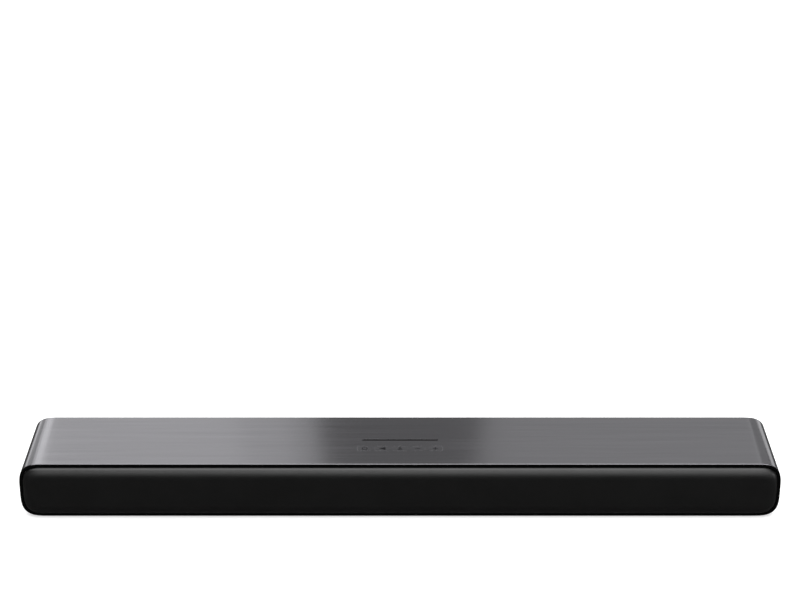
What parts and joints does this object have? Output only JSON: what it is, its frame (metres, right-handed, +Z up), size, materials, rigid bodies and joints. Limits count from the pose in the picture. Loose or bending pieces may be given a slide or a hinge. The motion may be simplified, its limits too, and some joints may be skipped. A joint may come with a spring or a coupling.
{
  "type": "soundbar",
  "caption": "Long low television soundbar: brushed dark-grey wrap with round ends, black cushion-shaped cloth grille in a thin black frame, flush keys in the top, sockets in the back",
  "frame": {"origin": "bottom centre of the bounding box, on the surface the bar stands on", "axes": "+X along the bar to the listener's right, -Y out of the grille towards the listener, +Y the back, +Z up"},
  "size_m": [0.81, 0.112, 0.0645],
  "materials": {
    "brushed_shell": "metallic dark-grey lacquer with fine brushing along the bar",
    "black_plastic": "fine moulded texture",
    "gloss_trim": "polished",
    "grille_cloth": "close-knitted acoustic cloth",
    "foot_rubber": "matt",
    "cone_paper": "pressed black paper",
    "surround_rubber": "satin",
    "plated_steel": "zinc or nickel plated",
    "ferrite": "ground ferrite",
    "circuit_board": "solder-resisted laminate",
    "heat_sink": "extruded",
    "winding_tape": "yellow insulating tape over the winding",
    "wire_sleeve": "soft sleeve"
  },
  "bodies": {
    "casing": {"top_cover": "brushed_shell", "bottom_cover": "black_plastic", "rear_panel": "black_plastic", "front_baffle": "black_plastic", "trim_frame": "gloss_trim", "grille_frame": "black_plastic", "grille_cloth": "grille_cloth", "foot_front_left": "foot_rubber", "foot_front_right": "foot_rubber", "foot_rear_left": "foot_rubber", "foot_rear_right": "foot_rubber", "cover_screw_front_left": "plated_steel", "cover_screw_front_right": "plated_steel", "cover_screw_rear_left": "plated_steel", "cover_screw_rear_right": "plated_steel", "key_guide": "black_plastic", "key_board": "circuit_board", "key_marker_strip": "gloss_trim", "driver_left_basket": "plated_steel", "driver_left_surround": "surround_rubber", "driver_left_magnet": "ferrite", "driver_left_yoke": "plated_steel", "driver_left_screw_bottom_left": "plated_steel", "driver_left_screw_top_left": "plated_steel", "driver_left_screw_bottom_right": "plated_steel", "driver_left_screw_top_right": "plated_steel", "driver_right_basket": "plated_steel", "driver_right_surround": "surround_rubber", "driver_right_magnet": "ferrite", "driver_right_yoke": "plated_steel", "driver_right_screw_bottom_left": "plated_steel", "driver_right_screw_top_left": "plated_steel", "driver_right_screw_bottom_right": "plated_steel", "driver_right_screw_top_right": "plated_steel", "bass_port_left": "black_plastic", "bass_port_right": "black_plastic", "chamber_wall_left": "black_plastic", "chamber_wall_right": "black_plastic", "video_socket": "plated_steel", "optical_socket": "black_plastic", "usb_socket": "plated_steel", "aux_socket": "black_plastic", "mains_inlet": "black_plastic", "main_board": "circuit_board", "heat_sink": "heat_sink", "wireless_module": "circuit_board", "power_board": "circuit_board", "transformer": "winding_tape", "indicator_board": "circuit_board", "speaker_lead_left": "wire_sleeve", "speaker_lead_right": "wire_sleeve"},
    "key_power": {"key_power": "brushed_shell"},
    "key_source": {"key_source": "brushed_shell"},
    "key_pairing": {"key_pairing": "brushed_shell"},
    "key_volume_down": {"key_volume_down": "brushed_shell"},
    "key_volume_up": {"key_volume_up": "brushed_shell"},
    "cone_left": {"driver_left_cone": "cone_paper", "driver_left_dust_cap": "cone_paper"},
    "cone_right": {"driver_right_cone": "cone_paper", "driver_right_dust_cap": "cone_paper"}
  },
  "joints": [
    {"name": "key_power_press", "type": "slide", "parent": "casing", "child": "key_power", "axis": [0, 0, -1], "range_m": [0, 0.0006], "stiffness_N_per_m": 800, "springref_m": -0.0005},
    {"name": "key_source_press", "type": "slide", "parent": "casing", "child": "key_source", "axis": [0, 0, -1], "range_m": [0, 0.0006], "stiffness_N_per_m": 800, "springref_m": -0.0005},
    {"name": "key_pairing_press", "type": "slide", "parent": "casing", "child": "key_pairing", "axis": [0, 0, -1], "range_m": [0, 0.0006], "stiffness_N_per_m": 800, "springref_m": -0.0005},
    {"name": "key_volume_down_press", "type": "slide", "parent": "casing", "child": "key_volume_down", "axis": [0, 0, -1], "range_m": [0, 0.0006], "stiffness_N_per_m": 800, "springref_m": -0.0005},
    {"name": "key_volume_up_press", "type": "slide", "parent": "casing", "child": "key_volume_up", "axis": [0, 0, -1], "range_m": [0, 0.0006], "stiffness_N_per_m": 800, "springref_m": -0.0005},
    {"name": "cone_left_travel", "type": "slide", "parent": "casing", "child": "cone_left", "axis": [0, -1, 0], "range_m": [-0.0025, 0.0025], "stiffness_N_per_m": 1500, "deforming": ["driver_left_surround"]},
    {"name": "cone_right_travel", "type": "slide", "parent": "casing", "child": "cone_right", "axis": [0, -1, 0], "range_m": [-0.0025, 0.0025], "stiffness_N_per_m": 1500, "deforming": ["driver_right_surround"]}
  ]
}
